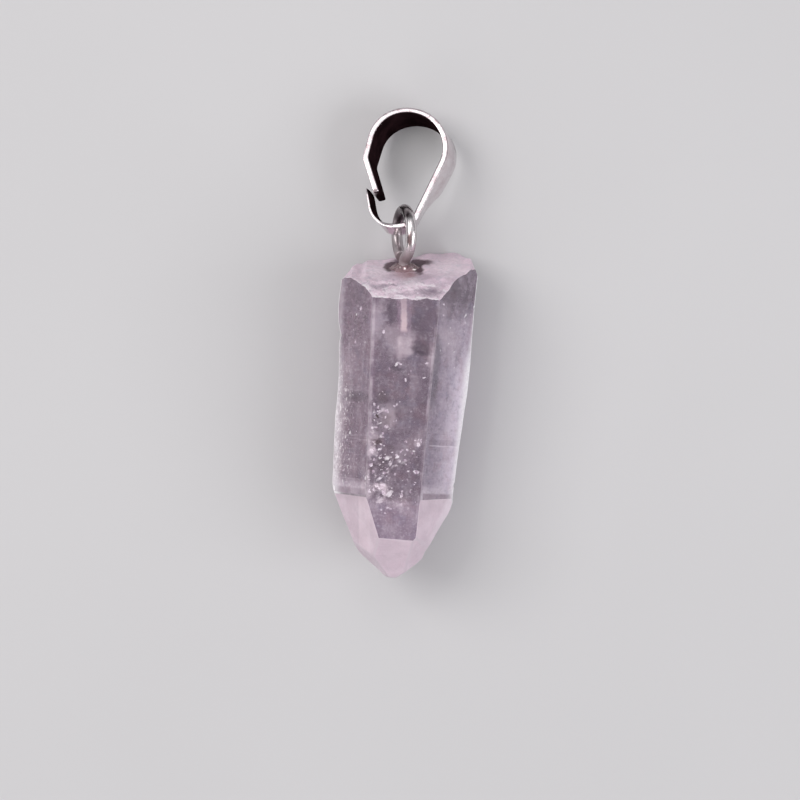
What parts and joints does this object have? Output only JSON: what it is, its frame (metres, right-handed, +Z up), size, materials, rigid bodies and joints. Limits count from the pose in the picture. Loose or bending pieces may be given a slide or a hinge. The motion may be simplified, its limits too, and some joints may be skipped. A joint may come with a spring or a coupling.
{
  "type": "quartz crystal pendant",
  "caption": "Natural quartz point, broken at its upper end and drilled for a glued wire eye, hanging from an opening strip bail; a pendant that lies on its flat back face.",
  "frame": {"origin": "centre of the underside of the pendant's bounding box, on the surface that it lies on", "axes": "+Y along the eye pin toward the bail, +X to the right as worn, +Z up from the surface, out of the crystal's front face"},
  "size_m": [0.0126, 0.041, 0.0103],
  "materials": {
    "quartz": "milky clear, frosted at the tip and the broken end",
    "eye_metal": "polished silver plate",
    "glue": "clear hardened glue",
    "bail_metal": "polished silver plate with fine scratches"
  },
  "bodies": {
    "root": {"quartz_point": "quartz", "eye_pin": "eye_metal", "glue_bead": "glue", "bail": "bail_metal"}
  },
  "joints": []
}
